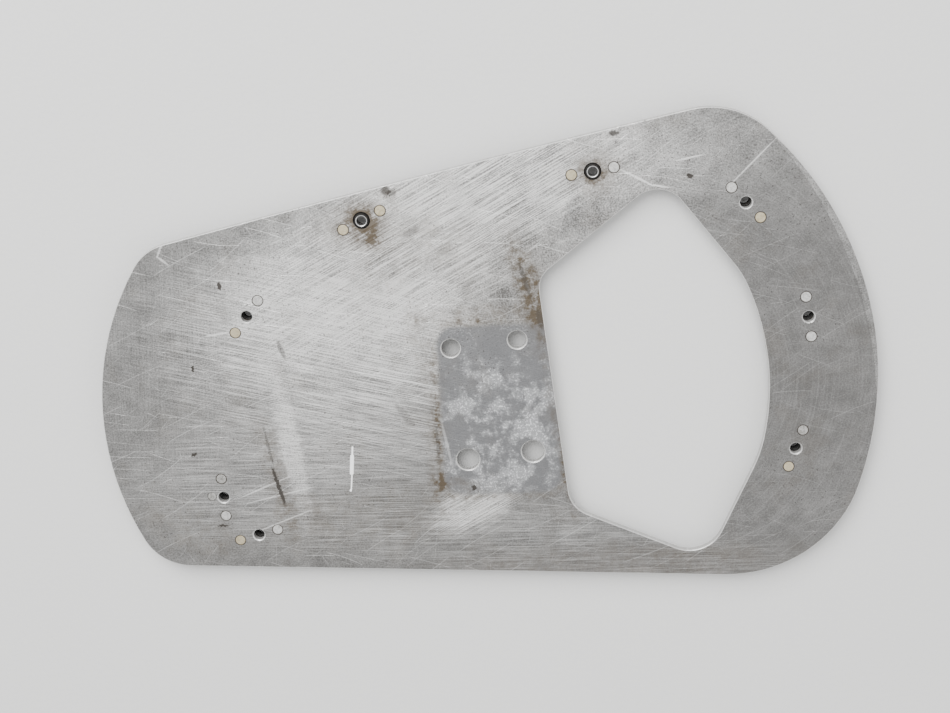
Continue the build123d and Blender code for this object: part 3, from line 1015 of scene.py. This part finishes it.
class PLATE_OT_build_rivets(bpy.types.Operator):
    """Build the sixteen nut rivets and the plug rivet, each a little different"""

    bl_idname = "mounting_plate.build_rivets"
    bl_label = "Build the rivets"

    def execute(self, context):
        shape = in_millimetres(context.scene.rivet_shape)
        material = rivet_material(shape)
        for index, node in enumerate(RIVET_NODES):
            low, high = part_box(node)
            centre = (low + high) / 2
            rng = np.random.default_rng(index + FIRST_SEED)
            make_profile = plug_profile if node.startswith("plug") else rivet_profile
            radius = (high.x - low.x) / 2 / MM
            profile, top, bottom = make_profile(shape, radius, high.z / MM, low.z / MM)
            points, faces = turned_mesh(profile, top, bottom, shape.segments, rng, shape.tail_wander)
            marks = {
                "radius": np.hypot(points[:, 0], points[:, 1]),
                "warm": np.full(len(points), float(node in WARM_RIVETS)),
                "pale": np.full(len(points), float(node in PALE_RIVETS)),
            }
            placed = points * MM + [centre.x, centre.y, 0.0]
            name = node.replace("rivet", "driven_rivet")
            finished_piece(name, node, placed, faces, marks, material)
        return {"FINISHED"}


# The camera as it stood to the plate: its place, and its up and back directions
CAMERA_PLACE = (0.04689, 0.22843, 0.64619)
CAMERA_UP = (0.1272, 0.9412, -0.3130)
CAMERA_BACK = (0.0754, 0.3055, 0.9492)
FRAME_WIDTH = 36.0
CLIP_START = 0.01
FLOOR_REACH = 8.0
FLOOR_CELLS = 24
# The two soft lights: place and side
KEY_LIGHT = ((-0.25, 1.1, 1.1), 1.2)
FILL_LIGHT = ((0.9, -0.9, 0.9), 1.0)


def floor_grid(reach, cells, height):
    """A flat square of side 2 * reach: the point at parameters x and y is (x, y, height)."""
    line = np.linspace(-reach, reach, cells + 1)
    x, y = np.meshgrid(line, line)
    points = np.stack([x.ravel(), y.ravel(), np.full(x.size, height)], axis=1)
    corner = (np.arange(cells)[:, None] * (cells + 1) + np.arange(cells)[None, :]).ravel()
    faces = np.stack([corner, corner + 1, corner + cells + 2, corner + cells + 1], axis=1)
    return points, faces.tolist()


def mesh_piece(name, points, faces):
    """A new object at the origin with this mesh."""
    mesh = bpy.data.meshes.new(name)
    mesh.from_pydata(points.tolist(), [], faces)
    mesh.update()
    piece = bpy.data.objects.new(name, mesh)
    bpy.context.scene.collection.objects.link(piece)
    return piece


def soft_light(name, place, size, power):
    """A square area light that looks at the origin."""
    light = bpy.data.lights.new(name, "AREA")
    light.shape = "SQUARE"
    light.size = size
    light.energy = power
    lamp = bpy.data.objects.new(name, light)
    lamp.location = place
    lamp.rotation_euler = (-Vector(place)).to_track_quat("-Z", "Y").to_euler()
    bpy.context.scene.collection.objects.link(lamp)


class PLATE_OT_set_stage(bpy.types.Operator):
    """Lay the floor, hang the lights and set the camera"""

    bl_idname = "mounting_plate.set_stage"
    bl_label = "Set the stage"

    def execute(self, context):
        settings = context.scene.plate_stage
        floor = mesh_piece("studio_floor", *floor_grid(FLOOR_REACH, FLOOR_CELLS, FLOOR_HEIGHT))
        floor.data.materials.append(floor_material(settings.floor))
        soft_light("key_light", *KEY_LIGHT, settings.key_power)
        soft_light("fill_light", *FILL_LIGHT, settings.fill_power)
        world = bpy.data.worlds.new("studio")
        world.use_nodes = True
        background = world.node_tree.nodes["Background"]
        background.inputs["Color"].default_value = (1.0, 1.0, 1.0, 1.0)
        background.inputs["Strength"].default_value = settings.sky
        context.scene.world = world
        lens = bpy.data.cameras.new("camera")
        lens.lens = settings.lens
        lens.sensor_width = FRAME_WIDTH
        lens.clip_start = CLIP_START
        camera = bpy.data.objects.new("camera", lens)
        camera.matrix_world = camera_matrix()
        context.scene.collection.objects.link(camera)
        context.scene.camera = camera
        return {"FINISHED"}


def camera_matrix():
    """The camera's place and turn, its three directions made square to each other."""
    back = Vector(CAMERA_BACK).normalized()
    right = Vector(CAMERA_UP).cross(back).normalized()
    up = back.cross(right)
    turn = Matrix((right, up, back)).transposed().to_4x4()
    return Matrix.Translation(CAMERA_PLACE) @ turn


class PLATE_PT_panel(bpy.types.Panel):
    """Lists the operators and their settings"""

    bl_idname = "PLATE_PT_panel"
    bl_label = "Mounting plate"
    bl_space_type = "VIEW_3D"
    bl_region_type = "UI"
    bl_category = "Mounting plate"

    def draw(self, context):
        for operator in OPERATORS:
            self.layout.operator(operator.bl_idname)
        for name, group in SETTINGS.items():
            for key in group.__annotations__:
                self.layout.prop(getattr(context.scene, name), key)


OPERATORS = (PLATE_OT_dress_plate, PLATE_OT_build_nuts, PLATE_OT_build_rivets, PLATE_OT_set_stage)
SETTINGS = {
    "plate_finish": PlateFinish,
    "anchor_nut": NutShape,
    "rivet_shape": RivetShape,
    "plate_stage": StageSettings,
}
CLASSES = (*SETTINGS.values(), *OPERATORS, PLATE_PT_panel)


def register():
    for item in CLASSES:
        bpy.utils.register_class(item)
    for name, group in SETTINGS.items():
        setattr(bpy.types.Scene, name, PointerProperty(type=group))


def unregister():
    for name in SETTINGS:
        delattr(bpy.types.Scene, name)
    for item in reversed(CLASSES):
        bpy.utils.unregister_class(item)


def main():
    """Register, and run each operator in turn."""
    register()
    bpy.ops.mounting_plate.dress_plate()
    bpy.ops.mounting_plate.build_nuts()
    bpy.ops.mounting_plate.build_rivets()
    bpy.ops.mounting_plate.set_stage()


if __name__ == "__main__":
    main()
